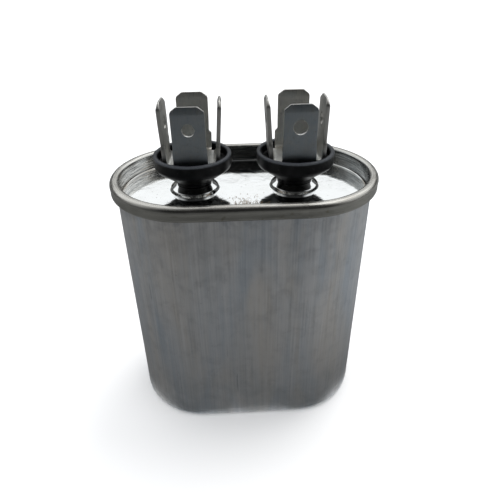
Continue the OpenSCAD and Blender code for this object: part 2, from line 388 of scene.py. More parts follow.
def cover_material():
    """zone: 0 floor and bosses, 1 recess wall, 2 top of the seam, 3 outside of the seam."""
    m = Mat("tinplate", metallic=1.0, roughness=0.1)
    z, p, g = m.attr(), m.coords(), m.uv()
    on_wall = m.math("MULTIPLY", m.span(z, 0.25, 0.75), m.span(z, 1.9, 1.4))
    on_top = m.span(z, 1.35, 1.85)
    outer = m.span(z, 2.35, 2.85)
    soft = m.noise(p, 0.35, 4, 0.55, 0.4)
    fine = m.noise(p, 4.5, 3, 0.6)
    tool = m.noise(m.stretch(g, 0.035, 1.0), 4.2, 4, 0.6)      # rolling marks run round the seam
    patch = m.noise(m.stretch(g, 0.10, 0.55, off=(5, 2, 0)), 1.0, 4, 0.6, 0.7)
    base = m.mix(m.span(soft, 0.35, 0.70, 0.0, 0.5), (0.920, 0.930, 0.935), (0.855, 0.860, 0.850))
    # pits and specks on the bright floor
    pit = m.math("MULTIPLY", m.span(m.cells(p, 0.95), 0.115, 0.06), m.span(m.noise(p, 0.8, 3, 0.6), 0.50, 0.58))
    pit2 = m.math("MULTIPLY", m.span(m.cells(m.stretch(p, 1, 1, 1, (3, 8, 0)), 2.3), 0.12, 0.06), m.span(m.noise(p, 1.1, 2), 0.54, 0.60))
    on_floor = m.span(z, 0.5, 0.2)
    pits = m.math("MULTIPLY", m.math("MAXIMUM", pit, pit2), on_floor)
    base = m.mix(m.math("MULTIPLY", pits, 0.72), base, (0.20, 0.17, 0.14))
    # wall of the recess: rubbed bands and rusty film, and painted shade darkening the back and right walls
    wallc = m.mix(m.span(tool, 0.40, 0.60), (0.30, 0.31, 0.31), (0.93, 0.92, 0.89))
    wallc = m.mix(m.span(patch, 0.52, 0.66, 0.0, 0.55), wallc, (0.36, 0.30, 0.23))
    px, py, pz = m.split(p)
    # painted shade: the back and right walls of the recess are darkened by position, standing in for the dim
    # surroundings they mirror
    back_right_wall_shade = m.math("MULTIPLY", m.span(px, -11.0, -5.0), m.span(py, 2.0, 8.0))
    back_right_wall_shade = m.math("MAXIMUM", back_right_wall_shade, m.span(px, 15.0, 21.0))
    back_right_wall_shade = m.math("MULTIPLY", back_right_wall_shade, m.span(tool, 0.30, 0.62, 0.95, 0.62))
    wallc = m.mix(back_right_wall_shade, wallc, (0.125, 0.140, 0.145))
    base = m.mix(on_wall, base, wallc)
    # top and outside of the seam, duller
    topc = m.mix(m.span(tool, 0.34, 0.68), (0.50, 0.485, 0.455), (0.74, 0.725, 0.69))
    topc = m.mix(m.span(patch, 0.50, 0.70, 0.0, 0.45), topc, (0.43, 0.40, 0.355))
    base = m.mix(on_top, base, topc)
    outc = m.mix(m.span(patch, 0.34, 0.62), (0.235, 0.232, 0.212), (0.335, 0.328, 0.302))
    outc = m.mix(m.span(tool, 0.52, 0.68, 0.0, 0.4), outc, (0.45, 0.44, 0.41))
    outc = m.mix(m.span(m.noise(m.stretch(g, 0.5, 1.0, off=(9, 1, 0)), 0.9, 4, 0.6, 0.8), 0.58, 0.68, 0.0, 0.6), outc, (0.185, 0.165, 0.125))
    base = m.mix(outer, base, outc)
    # darker brown, in patches, along the fillet where the floor turns up into the wall
    fillet_darkening = m.math("MULTIPLY", m.span(z, 0.05, 0.30), m.span(z, 0.75, 0.45))
    base = m.mix(m.math("MULTIPLY", fillet_darkening, m.span(patch, 0.45, 0.62, 0.0, 0.75)), base, (0.27, 0.22, 0.16))
    m.set(Base_Color=base)
    r = m.span(soft, 0.35, 0.70, 0.045, 0.095)
    r = m.math("ADD", r, m.math("MULTIPLY", on_wall, m.span(tool, 0.35, 0.65, 0.07, 0.16)))
    r = m.math("ADD", r, m.math("MULTIPLY", on_top, m.span(tool, 0.35, 0.65, 0.16, 0.24)))
    r = m.math("ADD", r, m.math("MULTIPLY", outer, 0.10))
    r = m.math("ADD", r, m.math("MULTIPLY", pits, 0.35))
    m.set(Roughness=r)
    hb = m.math("MULTIPLY", tool, m.span(z, 0.4, 1.2, 0.04, 1.0))
    n = m.bump(hb, 0.30, 0.00005)
    n = m.bump(soft, 0.10, 0.00030, n)
    n = m.bump(m.math("SUBTRACT", 0.0, pits), 0.35, 0.00004, n)
    n = m.bump(fine, 0.04, 0.00002, n)
    m.set(Normal=n)
    return m.m


def cup_material():
    m = Mat("black_moulding", metallic=0.0, roughness=0.38, **{"IOR": 1.5, "Specular IOR Level": 0.22})
    p = m.coords()
    z = m.attr()
    soft = m.noise(p, 0.7, 4, 0.6, 0.3)
    fine = m.noise(p, 7.0, 3, 0.6)
    base = m.mix(m.span(soft, 0.35, 0.65), (0.0010, 0.0012, 0.0016), (0.0024, 0.0026, 0.0032))
    # lip ring: wear, plus a painted sheen of lighter grey-blue standing in for the sky the lip mirrors
    lip_wear_and_sheen = m.math("MULTIPLY", m.span(z, 0.5, 1.0), m.span(fine, 0.38, 0.60, 0.45, 1.0))
    base = m.mix(m.math("MULTIPLY", lip_wear_and_sheen, 0.80), base, (0.062, 0.068, 0.078))
    dust = m.math("MULTIPLY", m.span(m.cells(p, 1.5), 0.12, 0.05), m.span(m.noise(p, 0.9, 3), 0.52, 0.60))
    base = m.mix(m.math("MULTIPLY", dust, 0.55), base, (0.20, 0.20, 0.20))
    m.set(Base_Color=base)
    m.set(Roughness=m.math("ADD", m.span(soft, 0.3, 0.7, 0.30, 0.42), m.math("MULTIPLY", dust, 0.3)))
    ring = m.noise(m.stretch(m.uv(), 0.04, 1.0), 2.2, 3, 0.5)
    n = m.bump(fine, 0.12, 0.00004)
    n = m.bump(ring, 0.10, 0.00006, n)
    m.set(Normal=n)
    return m.m


def tab_material(name="tinned_tab", tint=(1.0, 1.0, 1.0), dull=0.0):
    """zone: 0 faces, 1 cut edges."""
    m = Mat(name, metallic=1.0, roughness=0.33)
    p, z, g = m.coords(), m.attr(), m.uv()
    line_ = m.noise(m.stretch(g, 0.06, 1.0), 5.5, 4, 0.6)       # rolling lines run up the blades
    soft = m.noise(p, 0.55, 4, 0.6, 0.5)
    fine = m.noise(p, 6.0, 3, 0.6)

    def c(r, gg, b):
        return (r * tint[0], gg * tint[1], b * tint[2])
    base = m.mix(m.span(soft, 0.36, 0.64), c(0.372, 0.420, 0.462), c(0.430, 0.462, 0.480))
    # painted light: a pale colour laid on each arm by a fixed amount, full on the back arm, half on the side arms, none
    # on the front
    arm_light_mask = m.attr("painted_arm_light")
    light = m.mix(m.span(soft, 0.36, 0.64), c(0.820, 0.790, 0.730), c(0.900, 0.860, 0.790))
    base = m.mix(arm_light_mask, base, light)
    base = m.mix(m.span(line_, 0.50, 0.70, 0.0, 0.22), base, c(0.56, 0.55, 0.53))
    base = m.mix(m.span(line_, 0.46, 0.30, 0.0, 0.22), base, c(0.22, 0.22, 0.215))
    stain = m.noise(p, 1.3, 4, 0.65, 0.6)
    base = m.mix(m.span(stain, 0.58, 0.72, 0.0, 0.32), base, c(0.22, 0.195, 0.165))
    # cut edges lighter: edge wear, plus a painted highlight along every edge
    edge_wear_and_highlight = m.math("MULTIPLY", m.span(z, 0.3, 0.8), m.span(fine, 0.38, 0.60, 0.45, 1.0))
    base = m.mix(edge_wear_and_highlight, base, c(0.66, 0.65, 0.62))
    spots = m.math("MULTIPLY", m.span(m.cells(p, 1.9), 0.12, 0.06), m.span(m.noise(p, 0.9, 2), 0.55, 0.62))
    base = m.mix(m.math("MULTIPLY", spots, 0.22), base, c(0.15, 0.13, 0.11))
    m.set(Base_Color=base)
    r = m.span(soft, 0.35, 0.65, 0.34 + dull, 0.46 + dull)
    r = m.math("ADD", r, m.span(line_, 0.35, 0.65, -0.03, 0.05))
    m.set(Roughness=r)
    n = m.bump(line_, 0.22, 0.00003)
    n = m.bump(fine, 0.10, 0.00002, n)
    n = m.bump(soft, 0.12, 0.00012, n)
    m.set(Normal=n)
    return m.m


def crumb_material():
    m = Mat("dry_grime", metallic=0.0, roughness=0.85)
    p = m.coords()
    a = m.noise(p, 2.4, 4, 0.6)
    b = m.noise(p, 9.0, 3, 0.6)
    base = m.mix(m.span(a, 0.35, 0.62), (0.15, 0.095, 0.050), (0.42, 0.32, 0.20))
    base = m.mix(m.span(b, 0.55, 0.70, 0.0, 0.6), base, (0.03, 0.022, 0.015))
    m.set(Base_Color=base)
    m.set(Roughness=m.span(b, 0.3, 0.7, 0.75, 0.95))
    m.set(Normal=m.bump(b, 0.5, 0.00003))
    return m.m


def plain_material(name, c1, c2, scale=0.6, metallic=0.0, rough=(0.5, 0.7), kind="mottle", depth=0.00004, **kw):
    """Finish for the parts inside the case: grain, layers, weave or spray on a two-tone colour."""
    m = Mat(name, metallic=metallic, roughness=rough[0], **kw)
    p = m.coords()
    a = m.noise(p, scale, 4, 0.6, 0.3)
    f = m.noise(p, scale * 9, 3, 0.6)
    h = f
    if kind == "layers":                      # winding edges, stacked sheet
        h = m.noise(m.stretch(p, 1.0, 14.0, 0.4), scale, 3, 0.6)
        a = m.math("ADD", m.math("MULTIPLY", a, 0.5), m.math("MULTIPLY", h, 0.5))
    if kind == "fibre":
        h = m.noise(m.stretch(p, 0.5, 4.0, 4.0), scale * 3, 4, 0.7, 1.5)
        a = m.math("ADD", m.math("MULTIPLY", a, 0.4), m.math("MULTIPLY", h, 0.6))
    if kind == "weave":
        s = m.split(m.stretch(p, 9.0, 9.0, 9.0))
        w = m.math("MULTIPLY", m.math("SINE", s[0]), m.math("SINE", s[2]))
        h = m.math("ADD", m.math("MULTIPLY", w, 0.5), 0.5)
        a = m.math("ADD", m.math("MULTIPLY", a, 0.6), m.math("MULTIPLY", h, 0.4))
    if kind == "spray":
        h = m.math("ADD", m.cells(p, scale * 4), m.math("MULTIPLY", f, 0.6))
    base = m.mix(m.span(a, 0.34, 0.66), c1, c2)
    base = m.mix(m.span(f, 0.55, 0.75, 0.0, 0.35), base, tuple(x * 0.62 for x in c1))
    m.set(Base_Color=base)
    m.set(Roughness=m.span(a, 0.3, 0.7, rough[0], rough[1]))
    m.set(Normal=m.bump(h, 0.35, depth))
    return m.m


ALU, TIN, BLACK = can_material(), cover_material(), cup_material()
TAB = tab_material()
RIVET = tab_material("tinned_rivet", (1.25, 1.23, 1.20), 0.0)
GRIME = crumb_material()


# ---------------------------------------------------------------- the can
def make_can():
    bm, uvl, zone = new_bm()
    hr = (hook_c - can_c) / 2
    zt = CASE_H - COVER_T - 0.03 - hr - CAN_T / 2
    zs = 54.0
    mid = [(WR - 4, CAN_T / 2)] + line((WR - 4, CAN_T / 2), (can_c - 1.375, CAN_T / 2), 4)
    mid += arc((can_c - 1.375, 1.6), 1.375, -90, 0, 12)
    mid += line((can_c, 1.6), (can_c, zs), 44) + [(can_c, zs)]
    mid += arc((can_c + hr, zt), hr, 180, 0, 12)
    mid += [(hook_c, CASE_H - 2.1)]
    prof = offset(mid, -CAN_T / 2) + offset(mid, CAN_T / 2)[::-1]
    # the wall is drawn sheet: shallow hollows and long soft ribs, none at the seam or the foot
    def wall(s, r, z, x, y):
        if z < 1.2 or z > 54.6 or r < 14.6:
            return (0.0, 0.0)
        k = min(1.0, (z - 1.2) / 5.0) * min(1.0, (54.6 - z) / 2.5)
        a = 2 * math.pi * s / AROUND
        low = fbm(1.35 * math.cos(a) + 3.1, 1.35 * math.sin(a), z * 0.035, 2)
        rib = fbm(5.5 * math.cos(a), 5.5 * math.sin(a) + 7.7, z * 0.010, 3)
        dent = fbm(3.0 * math.cos(a) + 9.0, 3.0 * math.sin(a), z * 0.10 + 4.0, 2)
        return (k * (-0.045 + 0.055 * low + 0.018 * rib + 0.020 * dent), 0.0)
    n = len(prof)
    rows = sweep(bm, uvl, zone, prof, [0.0] * n, False, wall)
    # close the two ends of the strip: sheet edge at the hook, flat base inside and outside
    m = len(RING)
    h = len(mid)
    for k in range(m):
        k2 = (k + 1) % m
        quad(bm, uvl, (rows[h - 1][k], rows[h - 1][k2], rows[h][k2], rows[h][k]), ((0, 0), (1, 0), (1, 1), (0, 1)))
    for row in (rows[0], rows[-1]):
        z = row[0].co.z
        prev, rr = row, WR - 4
        for r2 in (8.0, 4.5, 1.6):
            ring = [bm.verts.new(((bx + nx * r2) * MM, ny * r2 * MM, z)) for (bx, nx, ny, s) in RING]
            for k in range(m):
                k2 = (k + 1) % m
                f = quad(bm, uvl, (prev[k], prev[k2], ring[k2], ring[k]), ((0, 0),) * 4)
                for lp in f.loops:
                    lp[uvl].uv = (lp.vert.co.x / MM, lp.vert.co.y / MM)
            prev = ring
        f = bm.faces.new(prev)
        for lp in f.loops:
            lp[uvl].uv = (lp.vert.co.x / MM, lp.vert.co.y / MM)
    return finish_mesh(bm, "can_shell", 50, ("can",), ALU)


# ---------------------------------------------------------------- the cover and its seam
def make_cover():
    bm, uvl, zone = new_bm()
    t = COVER_T
    zf, zt, oc = FLOOR_Z - t / 2, CASE_H - t / 2, R - t / 2
    br = (oc - cov_hook_c) / 2
    zb = CASE_H - 2.9 + br + t / 2
    mid = [(chuck_c - 1.2, zf), (chuck_c - 0.85, zf)]
    z1 = [0.0, 0.1]
    a = arc((chuck_c - 0.5, zf + 0.5), 0.5, -90, 0, 10); mid += a; z1 += [0.15 + 0.6 * i / 10 for i in range(11)]
    a = line((chuck_c, zf + 0.5), (chuck_c, zt - 0.5), 9); mid += a; z1 += [1.0] * len(a)
    a = arc((chuck_c + 0.5, zt - 0.5), 0.5, 180, 90, 10); mid += a; z1 += [1.2 + 0.8 * i / 10 for i in range(11)]
    a = line((chuck_c + 0.5, zt), (oc - 0.8, zt), 3); mid += a; z1 += [2.0] * len(a)
    a = arc((oc - 0.8, zt - 0.8), 0.8, 90, 0, 12); mid += a; z1 += [2.0 + 0.8 * i / 12 for i in range(13)]
    a = line((oc, zt - 0.8), (oc, zb), 8); mid += a; z1 += [3.0] * len(a)
    a = arc((oc - br, zb), br, 0, -180, 16); mid += a; z1 += [3.0] * 17
    mid += [(cov_hook_c, CASE_H - 1.05)]; z1 += [3.0]
    # the double seam is rolled: its outside wall is slightly hollow and lightly faceted by the roll
    def seam(s, r, z, x, y):
        w = fbm(x * 0.11, y * 0.11, 5.0, 2)
        f = fbm(x * 0.55, y * 0.55, z * 0.3, 2)
        if z > CASE_H - 1.2 and r > chuck_c - 0.1:
            k = min(1.0, (z - (CASE_H - 1.2)) / 0.8)
            return (0.012 * f * k, k * (-0.020 + 0.018 * w + 0.006 * f))
        if r > R - 0.75 and z < CASE_H - 0.6:
            u = (CASE_H - 0.7 - z) / 2.0
            hollow = -0.055 * math.sin(math.pi * min(max(u, 0.0), 1.0))
            low = max(0.0, u - 0.75) * 2.0
            return (hollow - 0.01 + 0.010 * w + 0.010 * f, 0.030 * w * low)
        return (0.0, 0.0)
    top, bot = offset(mid, t / 2), offset(mid, -t / 2)
    rt = sweep(bm, uvl, zone, top, z1, False, seam)
    rb = sweep(bm, uvl, zone, bot, z1, False, seam)
    m = len(RING)
    for k in range(m):
        k2 = (k + 1) % m
        quad(bm, uvl, (rt[-1][k], rt[-1][k2], rb[-1][k2], rb[-1][k]), ((0, 0), (1, 0), (1, 1), (0, 1)))
    # bosses
    br0, NB = 4.95, 120
    c1 = BOSS_Z - t / 2
    s12, c12 = math.sin(math.radians(12)), math.cos(math.radians(12))
    sc = (br0 - 0.45, FLOOR_Z + 0.45)
    x2 = sc[0] + 0.3 * c12 + (sc[1] + 0.3 * s12 - (zf + 0.3 - 0.3 * s12)) / math.tan(math.radians(78))
    bp = [(2.25, c1), (2.8, c1)] + arc((3.45, c1 - 0.5), 0.5, 90, 56, 8)
    e = arc(sc, 0.3, 56, 12, 8)
    bp += line(bp[-1], e[0], 4) + e
    bp += arc((x2 + 0.3 * c12, zf + 0.3), 0.3, 192, 270, 10) + [(br0 + 0.75, zf)]

    # the boss was pressed and worked: its cone is not a true one
    def worked(a, rr, z):
        if rr < 3.6 or rr > 5.3 or z < FLOOR_Z - 0.05 - t:
            return (0.0, 0.0)
        k = min(1.0, (rr - 3.6) / 0.5) * min(1.0, (5.3 - rr) / 0.3)
        f = fbm(1.6 * math.cos(a) + rr * 0.35, 1.6 * math.sin(a) + 3.3, 2.0, 3)
        return (0.0, k * (-0.014 + 0.030 * f))
    loops_t, loops_b = [], []
    for cx in (-TX, TX):
        bt = revolve(bm, uvl, zone, offset(bp, t / 2), [0.0] * len(bp), NB, cx, False, worked)
        bb = revolve(bm, uvl, zone, offset(bp, -t / 2), [0.0] * len(bp), NB, cx, False, worked)
        for k in range(NB):
            k2 = (k + 1) % NB
            quad(bm, uvl, (bt[0][k], bt[0][k2], bb[0][k2], bb[0][k]), ((0, 0), (1, 0), (1, 1), (0, 1)))
        loops_t.append(bt[-1]); loops_b.append(bb[-1])
    # flat floor, meshed finely enough to carry a faint unevenness
    rin, rh = chuck_c - 1.2, br0 + 0.75
    pts = []
    step = 0.9
    ny = int(rin / (step * 0.866)) + 1
    for j in range(-ny, ny + 1):
        for i in range(-32, 33):
            x, y = (i + 0.5 * (j % 2)) * step, j * step * 0.866
            dx = max(0.0, abs(x) - S)
            if math.hypot(dx, y) < rin - 0.55 and all(math.hypot(x - c, y) > rh + 0.5 for c in (-TX, TX)):
                pts.append((x, y))
    for ring, holes, up in ((rt[0], loops_t, True), (rb[0], loops_b, False)):
        vs = list(ring) + [v for lp in holes for v in lp]
        co = [Vector((v.co.x / MM, v.co.y / MM)) for v in vs]
        edges, o = [], 0
        for lp in (ring, *holes):
            edges += [(o + i, o + (i + 1) % len(lp)) for i in range(len(lp))]
            o += len(lp)
        z = ring[0].co.z
        for (x, y) in pts:
            e = min(1.0, (rin - math.hypot(max(0.0, abs(x) - S), y)) / 3.0, *[(math.hypot(x - c, y) - rh) / 2.0 for c in (-TX, TX)])
            w = 0.022 * e * fbm(x * 0.13 + 2.0, y * 0.13, 1.0, 2)
            v = bm.verts.new((x * MM, y * MM, z + w * MM)); v[zone] = 0.0
            vs.append(v); co.append(Vector((x, y)))
        res = delaunay_2d_cdt(co, edges, [], 0, 1e-5)
        for tri in res[2]:
            c = sum((res[0][i] for i in tri), Vector((0, 0))) / 3
            if math.hypot(max(0.0, abs(c.x) - S), c.y) > rin or any(math.hypot(c.x - q, c.y) < rh * math.cos(math.pi / NB) - 1e-3 for q in (-TX, TX)):
                continue
            ids = [res[3][i][0] for i in tri]
            try:
                f = bm.faces.new([vs[i] for i in ids])
            except ValueError:
                continue
            for lp in f.loops:
                lp[uvl].uv = (lp.vert.co.x / MM, lp.vert.co.y / MM)
    return finish_mesh(bm, "cover_and_seam", 60, ("cover",), TIN)


# ---------------------------------------------------------------- insulator cups
def make_cup(side, cx):
    bm, uvl, zone = new_bm()
    z, r0 = BOSS_Z, CUP_R
    ri, pocket = 1.6, 6.95
    p, zz = [], []

    def add(pts, v=0.0):
        for q in pts:
            p.append(q); zz.append(v)
    add([(ri, z - 0.75), (2.02, z - 0.75), (2.1, z - 0.67), (2.1, z)])
    add([(3.0, z)]); add(arc((3.35, z + 0.4), 0.4, -80, 0, 8))
    add([(3.78, z + 0.62), (3.84, z + 0.79)])
    # faint shoulder where the flare begins
    e = arc((r0 - 1.3, z + 4.3), 1.3, -45, 0, 12)
    add(line((3.84, z + 0.79), e[0], 10))
    add(e)
    add(line(e[-1], (r0, CUP_TOP - 0.3), 4))
    add(arc((r0 - 0.3, CUP_TOP - 0.3), 0.3, 0, 90, 8), 1.0)
    add(arc((pocket + 0.38, CUP_TOP - 0.38), 0.38, 90, 165, 6), 1.0)
    add([(pocket, CUP_TOP - 0.45), (pocket, CUP_TOP - 1.0), (pocket, PLATE_Z + 0.25)], 0.0)
    add(arc((pocket - 0.25, PLATE_Z + 0.25), 0.25, 0, -90, 5))
    add([(5.2, PLATE_Z), (3.0, PLATE_Z), (ri + 0.12, PLATE_Z), (ri, PLATE_Z - 0.12)])
    ph = 1.7 if side == "left" else 4.2

    def wob(a, r, zc):
        if r < 4.5:
            return (0.0, 0.0)
        k = min(1.0, (r - 4.5) / 2.0)
        if r < pocket + 0.1 and zc < CUP_TOP - 0.5 and zc > PLATE_Z - 0.3:
            k *= 0.3
        lo = fbm(1.1 * math.cos(a) + ph, 1.1 * math.sin(a), 0.3, 2)
        f = fbm(6 * math.cos(a), 6 * math.sin(a) + ph, zc * 0.7, 2)
        up = 1.0 if zc > CUP_TOP - 0.5 else 0.0
        return (k * (-0.012 + 0.020 * lo + 0.006 * f), up * (-0.012 + 0.012 * lo + 0.008 * f))
    revolve(bm, uvl, zone, p, zz, 144, cx, True, wob)
    return finish_mesh(bm, side + "_insulator_cup", 42, (side + "_cup",), BLACK)


# ---------------------------------------------------------------- four-blade terminals
def flat_arm(lean, hole_d):
    """One arm of the flat blank along +v: bend start, lean, bend end and tip, in mm of sheet."""
    zmid, ro = PLATE_Z, 1.4
    bx, bz = 5.55 - ro, PLATE_Z + ro
    L = math.radians(lean)
    bend = (math.pi / 2 - L) * 1.0
    run = (TIP_Z - bz + math.sin(L)) / math.cos(L)
    v_end = bx + bend
    tip = v_end + run
    return bx, bz, L, v_end, tip


def bend_point(v, u, w, bx, bz, L, v_end):
    if v <= bx:
        return (v, u, PLATE_Z + TAB_T / 2 + w)
    f = min(v - bx, v_end - bx) / 1.0
    x = bx + (1.0 - w) * math.sin(f)
    z = bz - (1.0 - w) * math.cos(f)
    if v > v_end:
        s = v - v_end
        x += s * math.cos(f)
        z += s * math.sin(f)
    return (x, u, z)


def make_terminal(side, cx, leans, holes):
    """leans and holes go right, back, left, front."""
    bm, uvl, zone = new_bm()
    painted_arm_light = bm.verts.layers.float.new("painted_arm_light")
    # how much painted light each arm gets, in the order right, back, left, front
    ARM_PAINTED_LIGHT = (0.55, 1.0, 0.55, 0.0)
    K, h = (3.7, 3.7, 3.7, 3.3), 3.175
    outline, arm_of = [], []
    rows = []          # pairs of outline indices joined by a crease row
    for arm in range(4):
        bx, bz, L, v_end, tip = flat_arm(leans[arm], holes[arm])
        vs_sh = tip - 7.8
        k = K[arm]
        half = [(K[(arm + 1) % 4], k), (bx, k)]
        nb = 12
        crease = [1]
        for i in range(1, nb + 1):
            crease.append(len(half))
            half.append((bx + (v_end - bx) * i / nb, k))
        half += [(v_end + 1.2, k), (vs_sh - 0.56, k), (vs_sh - 0.46, k - 0.04), (vs_sh - 0.04, h + 0.05), (vs_sh + 0.08, h)]
        half += [(vs_sh + 1.6, h), (vs_sh + 3.4, h), (vs_sh + 4.6, h)]
        half += arc((tip - 1.45, h - 1.5), 1.5, 90, 78, 3)          # (v, u) with the corner turned
        crease.append(len(half) - 1)
        half += arc((tip - 1.45, h - 1.5), 1.5, 78, 66, 3)[1:]
        half += arc((tip - 0.7, h - 1.45), 0.7, 40, 0, 6)
        full = [(v, -u) for v, u in half[1:]] + [(v, u) for v, u in reversed(half)]
        # full runs out along -u, over the tip, back along +u and ends at the notch corner
        n = len(full)
        base = len(outline)
        for i in crease:
            rows.append((arm, base + i - 1, base + n - 1 - i))
        outline += [(arm, v, u) for v, u in full]
    arms = [flat_arm(leans[i], holes[i]) for i in range(4)]

    def place(arm, v, u, w, dv=0.0):
        bx, bz, L, v_end, tip = arms[arm]
        b = tip - 1.138
        if v > b:
            w = w * (1 - 0.55 * min(1.0, (v - b) / 1.138))
        # slight bow so that the faces are not dead flat
        x, y, z = bend_point(v, u, w, bx, bz, L, v_end)
        if v > v_end + 0.5:
            q = 0.02 * fbm(u * 0.30 + arm * 7.0 + cx, (v - v_end) * 0.25, 2.0, 2) * min(1.0, (v - v_end - 0.5) / 1.5)
            x -= abs(q) * 0.7
        if side == "left" and v > v_end:
            q = min(1.0, (v - v_end) / 6.0)
            if arm == 2:
                x += y * 0.055 * q
            elif arm == 1:
                y -= 0.12 + 0.20 * q
        elif side == "left" and arm == 1 and v > bx:
            y -= 0.12 * (v - bx) / (v_end - bx)
        c, s = ((1, 0), (0, 1), (-1, 0), (0, -1))[arm]
        return Vector(((cx + x * c - y * s) * MM, (x * s + y * c) * MM, z * MM))

    # plan coordinates of the whole blank, one plane: arm direction * v + side * u
    def plan(arm, v, u):
        c, s = ((1, 0), (0, 1), (-1, 0), (0, -1))[arm]
        return (v * c - u * s, v * s + u * c)
    n = len(outline)
    P = [plan(*o) for o in outline]
    e = 0.085
    loops = [(0.0, 0.0)]
    steps = [(0.0, TAB_T / 2 - e), (e * 0.29, TAB_T / 2 - e * 0.29), (e, TAB_T / 2)]

    def unplan(arm, x, y):
        c, s = ((1, 0), (0, 1), (-1, 0), (0, -1))[arm]
        return (x * c + y * s, -x * s + y * c)
    # rings of the outline: top face inset, rounding, wall, rounding, bottom face inset
    ring_defs = [(ins, w) for ins, w in reversed(steps)] + [(0.0, 0.0)] + [(ins, -w) for ins, w in steps]

    def ring_of(pl, owner, ins, w, sign):
        q = offset(pl, ins * sign, True)
        out = []
        for (x, y), arm in zip(q, owner):
            v, u = unplan(arm, x, y)
            vert = bm.verts.new(place(arm, v, u, w))
            vert[zone] = 0.0 if abs(ins - e) < 1e-9 else 1.0
            vert[painted_arm_light] = ARM_PAINTED_LIGHT[arm]
            out.append((vert, (x, y)))
        return out
    owner = [o[0] for o in outline]
    sets = []          # one entry per closed outline: list of rings
    sets.append([ring_of(P, owner, ins, w, 1.0) for ins, w in ring_defs])
    for arm in range(4):
        bx, bz, L, v_end, tip = arms[arm]
        hr, hv = holes[arm] / 2, tip - 4.25
        circ = [plan(arm, hv + hr * math.cos(2 * math.pi * i / 48), -hr * math.sin(2 * math.pi * i / 48)) for i in range(48)]
        sets.append([ring_of(circ, [arm] * 48, ins, w, 1.0) for ins, w in ring_defs])
    circ = [(1.52 * math.cos(2 * math.pi * i / 48), -1.52 * math.sin(2 * math.pi * i / 48)) for i in range(48)]
    sets.append([ring_of(circ, [0] * 48, ins, w, 1.0) for ins, w in ring_defs])
    for rings in sets:
        m = len(rings[0])
        for a, b in zip(rings, rings[1:]):
            for i in range(m):
                j = (i + 1) % m
                quad(bm, uvl, (a[i][0], a[j][0], b[j][0], b[i][0]),
                     tuple((q[1][0], q[1][1]) for q in (a[i], a[j], b[j], b[i])))
    # faces: triangles of the flat blank, kept along the crease rows, folded up with it
    def arm_at(x, y):
        if abs(x) >= abs(y):
            return 0 if x > 0 else 2
        return 1 if y > 0 else 3
    for which in (0, -1):
        vs, co, edges, o = [], [], [], 0
        for rings in sets:
            ring = rings[which]
            vs += [q[0] for q in ring]; co += [Vector(q[1]) for q in ring]
            edges += [(o + i, o + (i + 1) % len(ring)) for i in range(len(ring))]
            o += len(ring)
        for arm, i, j in rows:
            edges.append((i, j))
        wf = ring_defs[which][1]
        for arm in range(4):
            bx, bz, L, v_end, tip = arms[arm]
            hv, hr = tip - 4.25, holes[arm] / 2
            for i in range(12):
                v = v_end + 0.7 + i * 0.78
                if v > tip - 1.35:
                    break
                for u in (-2.2, -1.1, 0.0, 1.1, 2.2):
                    if math.hypot(v - hv, u) > hr + 0.35:
                        vert = bm.verts.new(place(arm, v, u, wf)); vert[zone] = 0.0; vert[painted_arm_light] = ARM_PAINTED_LIGHT[arm]
                        vs.append(vert); co.append(Vector(plan(arm, v, u)))
        res = delaunay_2d_cdt(co, edges, [], 0, 1e-6)
        holes_c = [(plan(a, arms[a][4] - 4.25, 0.0), holes[a] / 2) for a in range(4)] + [((0.0, 0.0), 1.52)]
        for tri in res[2]:
            c = sum((res[0][i] for i in tri), Vector((0, 0))) / 3
            if any(math.dist(c, hc) < hr_ for hc, hr_ in holes_c):
                continue
            arm = arm_at(c.x, c.y)
            v, u = unplan(arm, c.x, c.y)
            tip = arms[arm][4]
            vs_sh = tip - 7.8
            lim = K[arm] if v < vs_sh - 0.5 else h
            if max(abs(c.x), abs(c.y)) <= 3.7:
                lim = 3.7
            if v > tip or abs(u) > lim:
                continue
            if v > tip - 1.45:      # rounded and clipped corners
                corner = [(vv, uu) for a_, vv, uu in outline if a_ == arm and uu > 0 and vv > tip - 1.5]
                corner.sort()
                top = None
                for (v0, u0), (v1, u1) in zip(corner, corner[1:]):
                    if v0 <= v <= v1 and v1 > v0:
                        top = u0 + (u1 - u0) * (v - v0) / (v1 - v0)
                if top is not None and abs(u) > top:
                    continue
            ids = [res[3][i][0] for i in tri]
            if len(set(ids)) < 3:
                continue
            try:
                f = bm.faces.new([vs[i] for i in ids])
            except ValueError:
                continue
            for lp, i in zip(f.loops, ids):
                q = unplan(arm, co[i].x, co[i].y)
                lp[uvl].uv = (q[0] + 40 * arm, q[1])
    ob = finish_mesh(bm, side + "_blade_stamping", 42, (side + "_tab_terminal",), TAB)
    w = ob.modifiers.new("weighted", "WEIGHTED_NORMAL")
    w.keep_sharp = True
    w.weight = 80
    return ob


# ---------------------------------------------------------------- rivets
def make_rivet(side, cx):
    bm, uvl, zone = new_bm()
    zt, zb = PLATE_Z + TAB_T, UNDER_Z - 1.25
    p = [(0, zb - 0.5), (1.2, zb - 0.5)] + arc((2.2, zb - 0.25), 0.25, -90, 0, 5) + [(2.45, zb), (1.58, zb)]
    p += [(1.5, zb + 0.08), (1.5, zt - 0.4), (1.5, zt), (2.66, zt)] + arc((2.66, zt + 0.09), 0.09, -90, 0, 3)
    p += arc((2.45, zt + 0.3), 0.3, 0, 72, 7)
    p += [(2.2, zt + 0.595), (1.7, zt + 0.60)] + arc((1.32, zt + 0.36), 0.24, 90, 150, 5)
    p += [(0.86, zt + 0.40), (0.70, zt + 0.315), (0.5, zt + 0.30), (0, zt + 0.30)]

    def wob(a, r, z):
        if z < zt + 0.05 or r < 0.6:
            return (0.0, 0.0)
        f = fbm(3.5 * math.cos(a) + cx, 3.5 * math.sin(a), z, 3)
        return (0.035 * f - 0.02, -0.012 + 0.010 * f)
    revolve(bm, uvl, zone, p, [0.0] * len(p), 96, cx, False, wob)
    return finish_mesh(bm, side + "_rolled_rivet", 40, (side + "_rivet",), RIVET)


